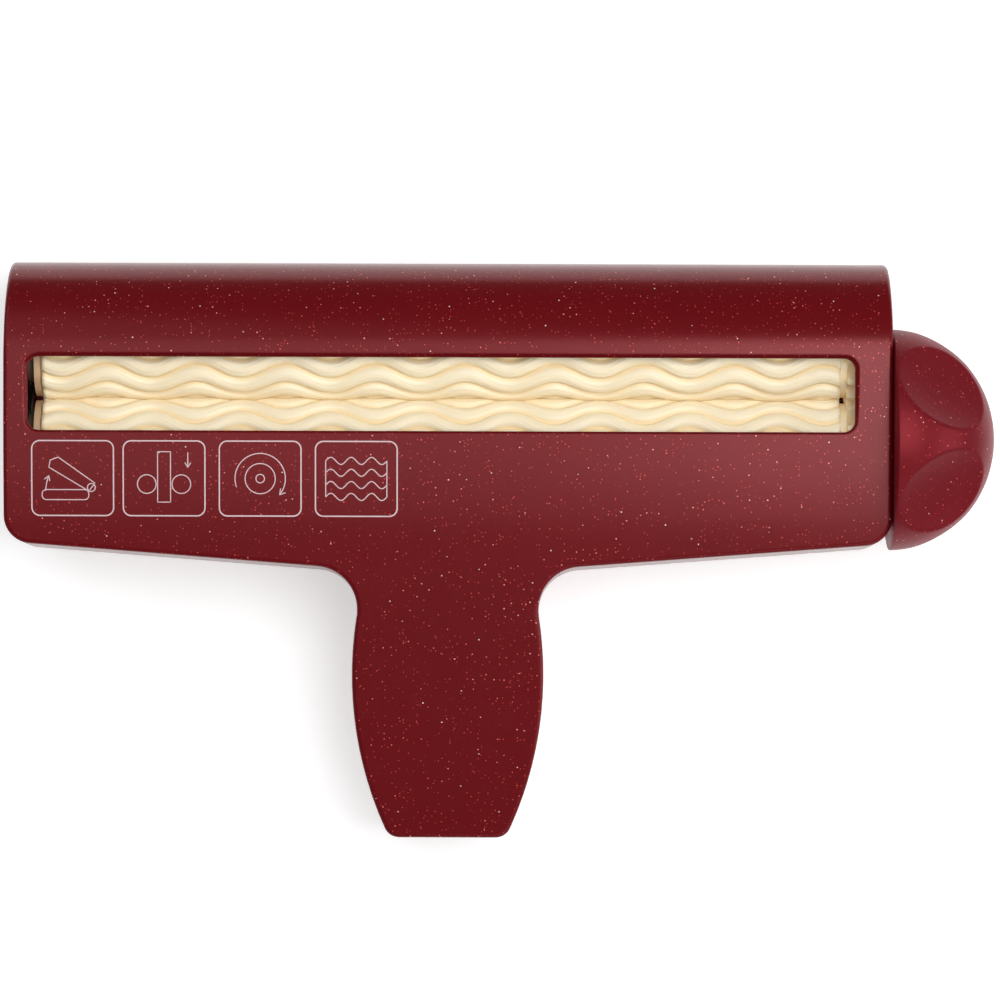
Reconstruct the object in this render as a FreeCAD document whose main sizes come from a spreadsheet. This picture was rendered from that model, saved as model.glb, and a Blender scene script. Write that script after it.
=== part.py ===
import FreeCAD, Part
import math
import operator
import os
import types

import Sketcher

# Hand-held paper crimper. Two T-shaped handles are hinged at the far edge of their wide heads.
# Paper goes in through the window of the top handle, between two wave-ridged rollers, and leaves
# through the slot of the lower handle. The knob turns the drive roller, and gears turn the other.
#
# The mechanism is drawn with X = 0 in the middle of the head, Y = 0 at the nip between the rollers
# and Z = 0 at the flat underside. Each sub-part's Placement then moves it to the part's origin,
# which is under the middle of the whole part.

DRIVING_SIZES = [
    # name, millimetres unless said otherwise, what it is
    ("head_length", 247.3, "width of the T's head"),
    ("far_reach", 38.7, "nip to the far side of the head"),
    ("near_reach", 39.8, "nip to the near corner of the head, at the front face"),
    ("near_flare", 1.7, "how far the head's near wall leans out down to the open joint"),
    ("neck_reach", 47.5, "nip to the corner between head and handle"),
    ("handle_reach", 123.0, "nip to the end of the handle"),
    ("handle_widest", 77.4, "nip to the widest place of the handle"),
    ("handle_half_width", 26.8, "half the handle's greatest width"),
    ("handle_side_radius", 105.0, "bow of the handle's sides"),
    ("head_corner_radius", 7.8, "near corners of the head, seen from the front"),
    ("neck_radius", 12.0, "hollow corner between head and handle"),
    ("end_corner_radius", 4.5, "corners at the end of the handle"),
    ("hood_radius", 28.0, "round far edge of the top handle"),
    ("crown_radius", 400.0, "crown of the front face"),
    ("front_edge_radius", 1.2, "rounded rim of the front face"),
    ("foot_edge_radius", 1.6, "rounded rim of the underside"),
    ("wall", 2.4, "thickness of the moulded walls"),
    ("rib_wall", 1.6, "thickness of the ribs in the handles"),
    ("rib_spacing", 20.0, "distance between the ribs"),
    ("parting_drop", 12.7, "roller shafts down to the joint between the handles"),
    ("parting_gap", 1.0, "open joint between the closed handles"),
    ("window_length", 230.0, "paper window, along the rollers"),
    ("window_width", 20.5, "paper window, across the rollers"),
    ("window_corner", 3.2, "corner radius of the window"),
    ("window_bevel", 1.1, "bevel round the window"),
    ("window_offset", 1.1, "nip to the middle of the window"),
    ("roller_shift", 1.95, "rollers and window left of the middle"),
    ("slot_length", 222.0, "paper slot in the underside"),
    ("slot_width", 12.0, "paper slot in the underside"),
    ("axis_height", 32.5, "underside to the roller shafts"),
    ("shaft_spacing", 22.0, "between the two roller shafts"),
    ("shaft_radius", 3.0, "both roller shafts"),
    ("running_clearance", 0.05, "radial play of a turning pin or shaft"),
    ("roller_length", 222.8, "ridged length of a roller"),
    ("ridge_radius", 11.75, "roller axis to the top of a ridge"),
    ("valley_radius", 9.55, "roller axis to the bottom of a valley"),
    ("ridge_flat", 1.88, "width of a ridge's top"),
    ("valley_flat", 1.72, "width of a valley's bottom"),
    ("wave_length", 25.04, "length of one wave of the ridges"),
    ("wave_rise", 2.2, "how far the ridges swing each way round the roller"),
    ("first_wave", 17.8, "roller's end cap to its first wave crest"),
    ("cap_thickness", 1.75, "smooth end cap of a roller"),
    ("cap_radius", 10.4, "smooth end cap of a roller"),
    ("cap_neck", 0.6, "groove between a roller's end cap and its ridges"),
    ("cap_neck_radius", 9.2, "bottom of that groove"),
    ("gear_tip_radius", 12.5, "gear axis to the tooth tips"),
    ("gear_root_radius", 8.6, "gear axis to the tooth roots"),
    ("tooth_tip", 1.38, "width of a tooth at its tip"),
    ("tooth_root", 3.47, "width of a tooth at its root"),
    ("gear_face", 3.8, "width of the gear teeth"),
    ("gear_inset", 1.85, "roller's end to the gear teeth"),
    ("gear_shoulder_radius", 10.2, "round shoulder between roller and gear teeth"),
    ("gear_room", 2.1, "gear teeth to the inside of the front face"),
    ("gear_hub_radius", 5.2, "hub of a gear"),
    ("plate_thickness", 3.0, "bearing plates that carry the rollers"),
    ("plate_room", 0.5, "bearing plates to the head's end walls"),
    ("boss_radius", 7.5, "round bearing eye of a plate"),
    ("bush_wall", 2.0, "bush between plate and shaft"),
    ("bush_flange", 1.2, "thickness of a bush's flange"),
    ("bush_flange_radius", 6.5, "flange of a bush"),
    ("hinge_back", 16.0, "nip to the hinge pins, towards the far side"),
    ("hinge_height", 7.0, "underside to the hinge pins"),
    ("hinge_pin_radius", 2.0, "hinge pins"),
    ("hinge_eye_radius", 5.0, "hinge eye of a cradle"),
    ("hinge_pin_depth", 6.2, "hinge pin inside the lower handle's wall"),
    ("barrel_radius", 18.5, "far side of the lower handle, round about the hinge"),
    ("barrel_top", 13.6, "hinge pins to the lower handle's far side, at the open joint"),
    ("pin_head_radius", 3.5, "head of a hinge pin"),
    ("pin_head_thickness", 1.2, "head of a hinge pin"),
    ("ear_depth", 8.2, "cradle's screw ear, across the rollers"),
    ("ear_length", 15.6, "cradle's screw ear, along the rollers"),
    ("ear_rise", 4.2, "joint between the handles up to the cradle's screw ear"),
    ("ear_thickness", 2.5, "cradle's screw ear"),
    ("ear_near", 25.8, "nip to the near edge of the cradle's screw ear"),
    ("screw_radius", 1.3, "self-tapping screws"),
    ("screw_length", 8.0, "self-tapping screws, under the head"),
    ("screw_head_radius", 2.6, "head of a screw"),
    ("screw_head_thickness", 1.7, "head of a screw"),
    ("screw_post_radius", 3.0, "moulded posts that take the screws"),
    ("screw_pitch", 6.2, "between a cradle's two screws"),
    ("bracket_screw_pitch", 12.0, "between a bracket's two screws"),
    ("bracket_screw_height", 11.0, "underside to the bracket screws"),
    ("bracket_foot", 11.5, "height of a bracket's foot"),
    ("bracket_near", 26.0, "nip to the near edge of a bracket's foot"),
    ("bracket_far", 7.0, "nip to the far edge of a bracket's foot"),
    ("knob_radius", 31.0, "knob at its rim"),
    ("knob_depth", 29.2, "knob along its axis"),
    ("knob_gap", 0.3, "head's end to the knob"),
    ("knob_socket", 14.0, "depth of the knob's shaft socket"),
    ("knob_hub_radius", 6.5, "hub inside the knob"),
    ("knob_core_radius", 19.0, "moulded hollow in the knob's flat side"),
    ("knob_core_depth", 10.0, "moulded hollow in the knob's flat side"),
    ("dimple_depth", 4.0, "finger dimple in the knob, at its deepest"),
    ("dimple_long", 72.0, "half length of the form that cuts a dimple"),
    ("dimple_wide", 41.0, "half width of the form that cuts a dimple"),
    ("dimple_high", 30.0, "half height of the form that cuts a dimple"),
    ("dimple_tilt", 31.0, "degrees from the knob's rim to the dimples' middles"),
    ("shaft_slot_half", 5.2, "half width of the shaft's slot in the head's end wall"),
    ]

RIDGES = 12
GEAR_TEETH = RIDGES
DIMPLES = 5
RIB_COUNT = 3
STATIONS_PER_WAVE = 6
MESH_ANGLE = 80.0
GEAR_MESH_ANGLE = 74.4

doc = FreeCAD.newDocument("PaperCrimper")
sheet = doc.addObject("Spreadsheet::Sheet", "Sizes")


class Size:
    """A length that is known both as a number and as a formula over the sheet's cells."""

    def __init__(self, value, text):
        self.value = value
        self.text = text

    def __add__(self, other):
        return combine(self, "+", other)

    def __radd__(self, other):
        return combine(other, "+", self)

    def __sub__(self, other):
        return combine(self, "-", other)

    def __rsub__(self, other):
        return combine(other, "-", self)

    def __mul__(self, other):
        return combine(self, "*", other)

    def __rmul__(self, other):
        return combine(other, "*", self)

    def __truediv__(self, other):
        return combine(self, "/", other)

    def __neg__(self):
        return combine(0, "-", self)


SIGNS = {"+": operator.add, "-": operator.sub, "*": operator.mul, "/": operator.truediv}


def as_size(number):
    return number if isinstance(number, Size) else Size(float(number), repr(number))


def combine(first, sign, second):
    first = as_size(first)
    second = as_size(second)
    return Size(SIGNS[sign](first.value, second.value), f"({first.text} {sign} {second.text})")


def arc_tangent(number):
    """Degrees of the slope."""
    return Size(math.degrees(math.atan(number.value)), f"atan({number.text})")


def root(number):
    return Size(math.sqrt(number.value), f"sqrt({number.text})")


def read_sizes():
    """Fills the sheet and returns its cells as Sizes, by name."""
    cells = {}
    for row, (name, value, meaning) in enumerate(DRIVING_SIZES, start=1):
        sheet.set(f"A{row}", meaning)
        sheet.set(f"B{row}", str(value))
        sheet.setAlias(f"B{row}", name)
        cells[name] = Size(value, f"Sizes.{name}")
    doc.recompute()
    return types.SimpleNamespace(**cells)


mm = read_sizes()

# Places that several sub-parts share
head_half = mm.head_length / 2
head_inside = head_half - mm.wall
plate_outside = head_inside - mm.plate_room
plate_inside = plate_outside - mm.plate_thickness
tray_half = plate_inside
tray_inside = tray_half - mm.wall
front_height = mm.axis_height + mm.gear_tip_radius + mm.gear_room + mm.wall
plan_top = front_height + mm.wall
parting_height = mm.axis_height - mm.parting_drop
hood_rim = parting_height + mm.parting_gap / 2
tray_rim = parting_height - mm.parting_gap / 2
ear_height = parting_height + mm.ear_rise
hood_crest = mm.far_reach - mm.hood_radius
axis_offset = mm.shaft_spacing / 2
roller_left = -mm.roller_length / 2 - mm.roller_shift
roller_right = mm.roller_length / 2 - mm.roller_shift
bush_face = plate_inside - mm.bush_flange
bush_radius = mm.shaft_radius + mm.bush_wall
knob_base = head_half + mm.knob_gap
ear_top = ear_height + mm.ear_thickness
ear_middle = mm.ear_near + mm.ear_depth / 2
origin_x = -(mm.knob_gap + mm.knob_depth) / 2
origin_y = (mm.handle_reach - mm.far_reach) / 2

subparts = []


# ---------------------------------------------------------------- building helpers


def bind(item, prop, size):
    item.setExpression(prop, as_size(size).text)


def place(item, x, y, z):
    for axis, size in (("x", x), ("y", y), ("z", z)):
        bind(item, f"Placement.Base.{axis}", size)


def finish(item, name):
    """Names a sub-part and moves it from the mechanism's frame to the part's origin."""
    item.Label = name
    place(item, origin_x, origin_y, 0)
    subparts.append(item)
    return item


def block(name, low, high):
    """A box between two corners."""
    box = doc.addObject("Part::Box", name)
    for prop, start, end in zip(("Length", "Width", "Height"), low, high):
        bind(box, prop, end - start)
    place(box, *low)
    return box


def cylinder(name, radius, start, length, along="X"):
    """A cylinder from its start along X or Z."""
    rod = doc.addObject("Part::Cylinder", name)
    bind(rod, "Radius", radius)
    bind(rod, "Height", length)
    if along == "X":
        rod.Placement = FreeCAD.Placement(FreeCAD.Vector(), FreeCAD.Rotation(FreeCAD.Vector(0, 1, 0), 90))
    place(rod, *start)
    return rod


def across(name, radius, y, z, x_ends, side=1):
    """A cylinder along X between two distances from the middle, on the right (1) or left (-1)."""
    near, far = x_ends
    start = near if side > 0 else -far
    return cylinder(name, radius, (start, y, z), far - near)


def fuse(name, *items):
    joined = doc.addObject("Part::MultiFuse", name)
    joined.Shapes = list(items)
    return joined


def cut(name, base, *tools):
    result = doc.addObject("Part::Cut", name)
    result.Base = base
    result.Tool = tools[0] if len(tools) == 1 else fuse(name + "_tools", *tools)
    return result


def common(name, first, second):
    shared = doc.addObject("Part::MultiCommon", name)
    shared.Shapes = [first, second]
    return shared


def new_sketch(body, name, plane):
    sketch = body.newObject("Sketcher::SketchObject", name)
    support = next(item for item in body.Origin.OriginFeatures if item.Role == plane)
    sketch.AttachmentSupport = [(support, "")]
    sketch.MapMode = "FlatFace"
    return sketch


def arc_through(start, end, radius, turn):
    """The short arc from start to end; turn is 1 for anticlockwise and -1 for clockwise."""
    middle = (start + end) * 0.5
    chord = end - start
    rise = math.sqrt(max(radius ** 2 - (chord.Length / 2) ** 2, 0))
    sideways = FreeCAD.Vector(-chord.y, chord.x, 0).normalize() * (rise * turn)
    centre = middle + sideways
    first, last = (start, end) if turn > 0 else (end, start)
    angles = [math.atan2(point.y - centre.y, point.x - centre.x) for point in (first, last)]
    circle = Part.Circle(centre, FreeCAD.Vector(0, 0, 1), radius)
    return Part.ArcOfCircle(circle, *angles)


def draw(sketch, corners):
    """Draws a closed outline with every corner held by the sheet.

    A corner (a, b) starts a straight side, and a corner (a, b, radius, turn) starts an arc.
    """
    points = [FreeCAD.Vector(as_size(c[0]).value, as_size(c[1]).value, 0) for c in corners]
    ends = []
    for index, corner in enumerate(corners):
        start = points[index]
        end = points[(index + 1) % len(points)]
        if len(corner) == 2:
            side = sketch.addGeometry(Part.LineSegment(start, end), False)
            ends.append((side, 1, 2))
            continue
        radius, turn = corner[2:]
        side = sketch.addGeometry(arc_through(start, end, radius.value, turn), False)
        ends.append((side, 1, 2) if turn > 0 else (side, 2, 1))
        held = sketch.addConstraint(Sketcher.Constraint("Radius", side, radius.value))
        bind(sketch, f"Constraints[{held}]", radius)
    for index, corner in enumerate(corners):
        side, first, last = ends[index]
        following = ends[(index + 1) % len(ends)]
        sketch.addConstraint(Sketcher.Constraint("Coincident", side, last, following[0], following[1]))
        for kind, size, place_now in (("DistanceX", corner[0], points[index].x),
                                      ("DistanceY", corner[1], points[index].y)):
            held = sketch.addConstraint(Sketcher.Constraint(kind, -1, 1, side, first, place_now))
            bind(sketch, f"Constraints[{held}]", size)


def prism(name, plane, corners, start, length, rounded=(), leaning=None):
    """A body padded from an outline; rounded lists (points, radius) for its long edges.

    leaning is (test for a face, angle): those faces lean out downwards from the top.
    """
    body = doc.addObject("PartDesign::Body", name)
    sketch = new_sketch(body, name + "_outline", plane)
    draw(sketch, corners)
    bind(sketch, "AttachmentOffset.Base.z", start)
    pad = body.newObject("PartDesign::Pad", name + "_pad")
    pad.Profile = sketch
    bind(pad, "Length", length)
    doc.recompute()
    last = pad
    if leaning is not None:
        last = lean_faces(body, pad, *leaning)
    for number, (points, radius) in enumerate(rounded):
        fillet = body.newObject("PartDesign::Fillet", f"{name}_round{number}")
        fillet.Base = (last, upright_edges(last.Shape, points))
        bind(fillet, "Radius", radius)
        doc.recompute()
        last = fillet
    body.Tip = last
    return body


def lean_faces(body, pad, leans, angle):
    """Leans the faces for which leans(face) holds; the pad's top keeps its outline."""
    named = [(f"Face{number}", face) for number, face in enumerate(pad.Shape.Faces, start=1)]
    top = next(name for name, face in named if face.normalAt(0, 0).z > 0.5)
    draft = body.newObject("PartDesign::Draft", pad.Name + "_draft")
    draft.Base = (pad, [name for name, face in named if leans(face)])
    draft.NeutralPlane = (pad, [top])
    bind(draft, "Angle", angle)
    doc.recompute()
    return draft


def upright_edges(shape, points):
    """The names of the upright edges whose upper ends are at the given places."""
    names = []
    for number, edge in enumerate(shape.Edges, start=1):
        if edge.BoundBox.ZLength < shape.BoundBox.ZLength / 2:
            continue
        upper = max((vertex.Point for vertex in edge.Vertexes), key=lambda point: point.z)
        for x, y in points:
            if abs(upper.x - x.value) < 0.01 and abs(upper.y - y.value) < 0.01:
                names.append(f"Edge{number}")
    return names


def sharp_edges(shape, keep):
    """The names of the edges where two faces meet at an angle and keep(edge) holds."""
    names = []
    for number, edge in enumerate(shape.Edges, start=1):
        faces = shape.ancestorsOfType(edge, Part.Face)
        if len(faces) != 2 or not keep(edge):
            continue
        middle = edge.valueAt((edge.FirstParameter + edge.LastParameter) / 2)
        normals = [face.normalAt(*face.Surface.parameter(middle)) for face in faces]
        if abs(normals[0].dot(normals[1])) < 0.98:
            names.append(f"Edge{number}")
    return names


def rounded_body(name, base, keep, radius):
    """A body that takes a solid over and rounds its sharp edges."""
    body = doc.addObject("PartDesign::Body", name)
    body.BaseFeature = base
    doc.recompute()
    fillet = body.newObject("PartDesign::Fillet", name + "_rounding")
    fillet.Base = (body.Group[0], sharp_edges(base.Shape, keep))
    bind(fillet, "Radius", radius)
    body.Tip = fillet
    doc.recompute()
    return body


# ---------------------------------------------------------------- the two handles


def handle_side(y, inset):
    """Half width of the handle at a distance from the nip, on its bowed side."""
    radius = mm.handle_side_radius - inset
    rise = root(radius * radius - (y + mm.handle_widest) * (y + mm.handle_widest))
    return rise - (mm.handle_side_radius - mm.handle_half_width)


def t_plate(name, half, inset, low, top, flare, leans):
    """The T-shaped outline of a handle, drawn inset from the outside and padded upwards.

    flare moves the head's near walls out; with leans they lean out that far at the open joint.
    """
    side = half - inset
    far = mm.far_reach + mm.wall
    shift = as_size(0) if leans else flare
    near = inset - mm.near_reach - shift
    neck = inset - mm.neck_reach - shift
    end = inset - mm.handle_reach
    neck_half = handle_side(neck, inset)
    end_half = handle_side(end, inset)
    bow = mm.handle_side_radius - inset
    corners = [
        (side, far),
        (-side, far),
        (-side, near),
        (-neck_half, neck, bow, 1),
        (-end_half, end),
        (end_half, end, bow, 1),
        (neck_half, neck),
        (side, near),
    ]
    rounded = [
        ([(-side, near), (side, near)], mm.head_corner_radius - inset),
        ([(-neck_half, neck), (neck_half, neck)], mm.neck_radius + inset),
        ([(-end_half, end), (end_half, end)], mm.end_corner_radius - inset),
    ]
    leaning = None
    if leans:
        behind_neck = neck.value - mm.wall.value
        angle = arc_tangent(flare / (top - hood_rim))
        leaning = (lambda face: face.normalAt(0, 0).y < -0.9 and face.CenterOfMass.y > behind_neck, angle)
    return prism(name, "XY_Plane", corners, low, top - low, rounded, leaning)


def hood_section(name, half, inset, low):
    """The top handle's section: round far edge, crowned front face and falling handle."""
    far = mm.far_reach - inset
    front = front_height - inset
    hood = mm.hood_radius - inset
    crown = mm.crown_radius - inset
    lean = (mm.near_reach + hood_crest) / mm.crown_radius
    level = root(1 - lean * lean)
    near = hood_crest - crown * lean
    near_height = front_height - mm.crown_radius + crown * level
    end = near - mm.handle_reach * level
    end_height = near_height - mm.handle_reach * lean
    corners = [
        (far, low),
        (far, front_height - mm.hood_radius, hood, 1),
        (hood_crest, front, crown, 1),
        (near, near_height),
        (end, end_height),
        (end, low),
    ]
    return prism(name, "YZ_Plane", corners, -half, 2 * half)


def tray_section(name, half, inset, low):
    """The lower handle's section: flat underside, and a far side round about the hinge."""
    radius = mm.barrel_radius - inset
    foot_drop = mm.hinge_height - low
    rim = tray_rim + inset
    foot = mm.hinge_back + root(radius * radius - foot_drop * foot_drop)
    end = -mm.handle_reach - mm.wall
    corners = [
        (end, low),
        (foot, low, radius, 1),
        (mm.hinge_back + radius, mm.hinge_height),
        (mm.hinge_back + mm.barrel_top - inset, rim),
        (end, rim),
    ]
    return prism(name, "YZ_Plane", corners, -half, 2 * half)


def handle_ribs(name, low, high):
    """Cross ribs inside a handle, between its neck and its end."""
    ribs = []
    for number in range(RIB_COUNT):
        y = -mm.neck_reach - mm.rib_spacing * (number + 0.5)
        corner = (-mm.handle_half_width, y, low)
        opposite = (mm.handle_half_width, y + mm.rib_wall, high)
        ribs.append(block(f"{name}{number}", corner, opposite))
    return fuse(name, *ribs)


def screw_posts(name, radius, grow):
    """Posts that hang from the hood over the cradles' ears; grow lengthens them upwards."""
    posts = []
    for side in (-1, 1):
        for number in range(2):
            x = side * cradle_screw_x(number)
            start = (x, ear_middle, ear_top)
            posts.append(cylinder(f"{name}{len(posts)}", radius, start, grow, "Z"))
    return fuse(name, *posts)


def cradle_screw_x(number):
    return plate_inside - mm.screw_post_radius - number * mm.screw_pitch


def window_cutter():
    half = mm.window_length / 2
    low = mm.window_offset - mm.window_width / 2
    high = mm.window_offset + mm.window_width / 2
    left = -half - mm.roller_shift
    right = half - mm.roller_shift
    corners = [(left, low), (right, low), (right, high), (left, high)]
    depth = 2 * mm.hood_radius
    through = prism("window", "XY_Plane", corners, front_height - depth / 2, depth,
                    [(corners, mm.window_corner)])
    rim = prism("window_rim", "XY_Plane", corners, front_height - mm.window_bevel,
                2 * mm.window_bevel, [(corners, mm.window_corner)])
    flare = doc.addObject("PartDesign::Body", "window_flare")
    flare.BaseFeature = rim
    doc.recompute()
    draft = flare.newObject("PartDesign::Draft", "window_flare_draft")
    base = flare.Group[0]
    walls = [f"Face{n}" for n, f in enumerate(base.Shape.Faces, start=1) if abs(f.normalAt(0.5, 0.5).z) < 0.5]
    floor = next(f"Face{n}" for n, f in enumerate(base.Shape.Faces, start=1)
                 if f.normalAt(0.5, 0.5).z < -0.5)
    draft.Base = (base, walls)
    draft.NeutralPlane = (base, [floor])
    draft.Angle = 45
    draft.Reversed = True
    flare.Tip = draft
    doc.recompute()
    return fuse("window_cutter", through, flare)


def shaft_slot():
    """Slot in the right end wall that lets the drive shaft leave as the top handle opens."""
    reach = (-axis_offset - mm.hinge_back).value
    rise = (mm.axis_height - mm.hinge_height).value
    exit_rise = (hood_rim - mm.hinge_height - mm.shaft_slot_half).value
    radius = math.hypot(reach, rise)
    exit_y = -math.sqrt(radius ** 2 - exit_rise ** 2)
    lean = math.degrees(math.atan2(reach - exit_y, rise - exit_rise))
    width = 2 * mm.shaft_slot_half
    wall_room = mm.wall + mm.plate_room
    start_x = head_half - wall_room + mm.plate_room / 2
    leg = doc.addObject("Part::Box", "shaft_slot_leg")
    bind(leg, "Length", 2 * mm.wall)
    bind(leg, "Width", width)
    bind(leg, "Height", mm.axis_height)
    turn = FreeCAD.Rotation(FreeCAD.Vector(1, 0, 0), 180 - lean)
    leg.Placement = FreeCAD.Placement(FreeCAD.Vector(), turn)
    across_wall = math.cos(math.radians(lean))
    down_wall = math.sin(math.radians(lean))
    place(leg, start_x, mm.shaft_slot_half * across_wall - axis_offset,
          mm.axis_height - mm.shaft_slot_half * down_wall)
    eye = cylinder("shaft_slot_eye", mm.shaft_slot_half, (start_x, -axis_offset, mm.axis_height), 2 * mm.wall)
    return fuse("shaft_slot", leg, eye)


def top_handle():
    outside = common("top_outside", hood_section("top_section", head_half, as_size(0), hood_rim),
                     t_plate("top_plan", head_half, as_size(0), as_size(0), plan_top, mm.near_flare, True))
    doc.recompute()
    rim = hood_rim.value
    blank = rounded_body("top_blank", outside, lambda edge: edge.BoundBox.ZMax > rim + 0.01,
                         mm.front_edge_radius)
    hollow = common("top_hollow", hood_section("top_hollow_section", head_half, mm.wall, as_size(0)),
                    t_plate("top_hollow_plan", head_half, mm.wall, as_size(0), plan_top, mm.near_flare, True))
    ribs = handle_ribs("top_rib", hood_rim, front_height)
    posts = common("top_posts", screw_posts("top_post", mm.screw_post_radius, mm.hood_radius), blank)
    shell = cut("top_shell", blank, cut("top_cavity", hollow, ribs), window_cutter(), shaft_slot())
    pilots = screw_posts("top_pilot", mm.screw_radius, mm.screw_length - mm.ear_thickness)
    finish(cut("top_handle_moulding", fuse("top_shell_and_posts", shell, posts), pilots), "top_handle")


def lower_handle():
    outside = common("tray_outside", tray_section("tray_section", tray_half, as_size(0), as_size(0)),
                     t_plate("tray_plan", tray_half, as_size(0), as_size(0), front_height, mm.near_flare, False))
    doc.recompute()
    blank = rounded_body("tray_blank", outside, lambda edge: edge.BoundBox.ZMax < 0.01, mm.foot_edge_radius)
    hollow = common("tray_hollow", tray_section("tray_hollow_section", tray_half, mm.wall, mm.wall),
                    t_plate("tray_hollow_plan", tray_half, mm.wall, mm.wall, front_height, mm.near_flare, False))
    ribs = handle_ribs("tray_rib", as_size(0), tray_rim)
    half_slot = mm.slot_length / 2
    slot = block("paper_slot", (-half_slot - mm.roller_shift, -mm.slot_width / 2, -mm.wall),
                 (half_slot - mm.roller_shift, mm.slot_width / 2, 2 * mm.wall))
    shell = cut("tray_shell", blank, cut("tray_cavity", hollow, ribs), slot)
    solids = [shell]
    holes = []
    for side, word in ((-1, "left"), (1, "right")):
        pin_ends = (tray_inside - mm.hinge_pin_depth, tray_half)
        hinge = (mm.hinge_back, mm.hinge_height)
        solids.append(across(f"{word}_hinge_boss", mm.hinge_eye_radius, *hinge, pin_ends, side))
        holes.append(across(f"{word}_hinge_hole", mm.hinge_pin_radius, *hinge, pin_ends, side))
        post_ends = (plate_outside - mm.screw_length, tray_half)
        for number, y in enumerate(bracket_screw_ys()):
            spot = (y, mm.bracket_screw_height)
            solids.append(across(f"{word}_bracket_post{number}", mm.screw_post_radius, *spot, post_ends, side))
            holes.append(across(f"{word}_bracket_hole{number}", mm.screw_radius, *spot, post_ends, side))
    body = fuse("tray_with_bosses", *solids)
    finish(cut("lower_handle_moulding", body, *holes), "lower_handle")


# ---------------------------------------------------------------- bearings and hinge


def bracket_screw_ys():
    middle = -axis_offset - mm.bracket_screw_pitch / 6
    return [middle - mm.bracket_screw_pitch / 2, middle + mm.bracket_screw_pitch / 2]


def roller_cradle(side, word):
    """Plate in the top handle: screw ear, eye for the driven shaft and eye for the hinge pin."""
    ends = (plate_inside, plate_outside)
    ear_far = mm.ear_near + mm.ear_depth
    web_corners = [
        (axis_offset - mm.boss_radius + 1, mm.axis_height),
        (mm.hinge_back - mm.hinge_eye_radius, mm.hinge_height),
        (mm.hinge_back + mm.hinge_eye_radius, mm.hinge_height),
        (ear_far, ear_height),
        (ear_far, ear_top),
        (axis_offset + mm.boss_radius / 2, mm.axis_height + mm.boss_radius - 1),
    ]
    low_x = plate_inside if side > 0 else -plate_outside
    web = prism(f"{word}_cradle_web", "YZ_Plane", web_corners, low_x, mm.plate_thickness)
    eye = across(f"{word}_cradle_eye", mm.boss_radius, axis_offset, mm.axis_height, ends, side)
    knuckle = across(f"{word}_cradle_knuckle", mm.hinge_eye_radius, mm.hinge_back, mm.hinge_height, ends, side)
    ear_inner = plate_outside - mm.ear_length
    ear_x = sorted((side * ear_inner, side * plate_outside), key=lambda size: size.value)
    ear = block(f"{word}_cradle_ear", (ear_x[0], mm.ear_near, ear_height), (ear_x[1], ear_far, ear_top))
    plate = fuse(f"{word}_cradle_plate", web, eye, knuckle, ear)
    pin_play = mm.hinge_pin_radius + mm.running_clearance
    holes = [
        across(f"{word}_cradle_bore", bush_radius, axis_offset, mm.axis_height, ends, side),
        across(f"{word}_cradle_pin_hole", pin_play, mm.hinge_back, mm.hinge_height, ends, side),
    ]
    for number in range(2):
        start = (side * cradle_screw_x(number), ear_middle, ear_height)
        holes.append(cylinder(f"{word}_cradle_screw_hole{number}", mm.screw_radius, start,
                              mm.ear_thickness, "Z"))
    finish(cut(f"{word}_cradle", plate, *holes), f"{word}_roller_cradle")


def drive_bracket(side, word):
    """Plate on the lower handle's end wall with the eye for the drive shaft."""
    ends = (plate_inside, plate_outside)
    foot_far = mm.bracket_far
    foot_near = -mm.bracket_near
    foot_low = mm.bracket_screw_height - mm.bracket_foot / 2
    foot_high = mm.bracket_screw_height + mm.bracket_foot / 2
    eye_low = mm.axis_height - mm.boss_radius / 4
    web_corners = [
        (foot_near, foot_low),
        (foot_far, foot_low),
        (foot_far, foot_high),
        (mm.boss_radius - axis_offset - 0.3, eye_low),
        (-axis_offset - mm.boss_radius + 0.3, eye_low),
        (foot_near, foot_high),
    ]
    low_x = plate_inside if side > 0 else -plate_outside
    web = prism(f"{word}_bracket_web", "YZ_Plane", web_corners, low_x, mm.plate_thickness)
    eye = across(f"{word}_bracket_eye", mm.boss_radius, -axis_offset, mm.axis_height, ends, side)
    holes = [across(f"{word}_bracket_bore", bush_radius, -axis_offset, mm.axis_height, ends, side)]
    for number, y in enumerate(bracket_screw_ys()):
        holes.append(across(f"{word}_bracket_screw_hole{number}", mm.screw_radius, y,
                            mm.bracket_screw_height, ends, side))
    plate = fuse(f"{word}_bracket_plate", web, eye)
    finish(cut(f"{word}_bracket", plate, *holes), f"{word}_drive_bracket")


def bush(name, side, y):
    """Flanged plain bush, pressed into a bearing plate from the inside."""
    sleeve = across(name + "_sleeve", bush_radius, y, mm.axis_height, (bush_face, plate_outside), side)
    flange = across(name + "_flange", mm.bush_flange_radius, y, mm.axis_height, (bush_face, plate_inside), side)
    bore = across(name + "_bore", mm.shaft_radius + mm.running_clearance, y, mm.axis_height,
                  (bush_face, plate_outside), side)
    finish(cut(name + "_turned", fuse(name + "_blank", sleeve, flange), bore), name)


def hinge_pin(side, word):
    shank = across(f"{word}_pin_shank", mm.hinge_pin_radius, mm.hinge_back, mm.hinge_height,
                   (tray_inside - mm.hinge_pin_depth, plate_outside + mm.running_clearance), side)
    head_start = plate_outside + mm.running_clearance
    head = across(f"{word}_pin_head", mm.pin_head_radius, mm.hinge_back, mm.hinge_height,
                  (head_start, head_start + mm.pin_head_thickness), side)
    finish(fuse(f"{word}_pin", shank, head), f"{word}_hinge_pin")


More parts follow.
